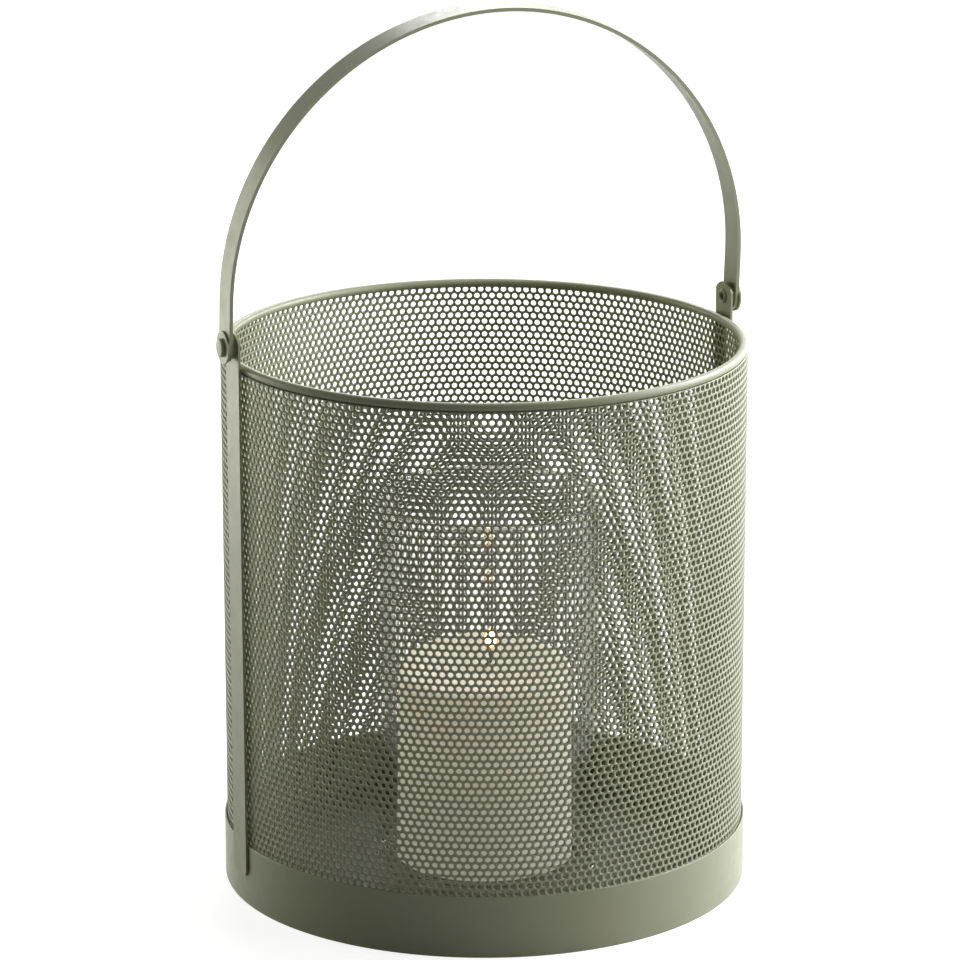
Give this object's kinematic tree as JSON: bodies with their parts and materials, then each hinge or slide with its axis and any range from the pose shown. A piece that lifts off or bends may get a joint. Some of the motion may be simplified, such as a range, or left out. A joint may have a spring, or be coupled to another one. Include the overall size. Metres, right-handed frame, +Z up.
{
  "type": "candle lantern",
  "caption": "Candle lantern: perforated sheet metal cylinder with a wire rim, a swinging strip handle on side straps, and a glass cylinder holding a pillar candle.",
  "frame": {"origin": "centre of the base band's lower edge, on the surface that the lantern stands on", "axes": "+Z up along the cylinder's axis, X along the axis through the two handle rivets, -Y towards the front, where the handle leans"},
  "size_m": [0.2466, 0.2322, 0.3917],
  "materials": {
    "sage_paint": "satin",
    "clear_glass": "gloss",
    "ivory_wax": "satin",
    "charred_cotton": "matte"
  },
  "bodies": {
    "body": {"base_band": "sage_paint", "floor_plate": "sage_paint", "perforated_shell": "sage_paint", "top_rim": "sage_paint", "strap_left": "sage_paint", "strap_right": "sage_paint", "rivet_left": "sage_paint", "rivet_right": "sage_paint", "outer_washer_left": "sage_paint", "outer_washer_right": "sage_paint", "inner_washer_left": "sage_paint", "inner_washer_right": "sage_paint"},
    "handle": {"handle": "sage_paint"},
    "glass": {"glass_cylinder": "clear_glass"},
    "candle": {"candle": "ivory_wax", "wick": "charred_cotton"}
  },
  "joints": [
    {"name": "handle_swing", "type": "hinge", "parent": "body", "child": "handle", "pos_m": [0, 0, 0.251], "axis": [1, 0, 0], "range_deg": [-125, 117]},
    {"name": "glass_lift", "type": "slide", "parent": "body", "child": "glass", "axis": [0, 0, 1], "range_m": [0, 0.2]},
    {"name": "candle_lift", "type": "slide", "parent": "glass", "child": "candle", "axis": [0, 0, 1], "range_m": [0, 0.2]}
  ]
}
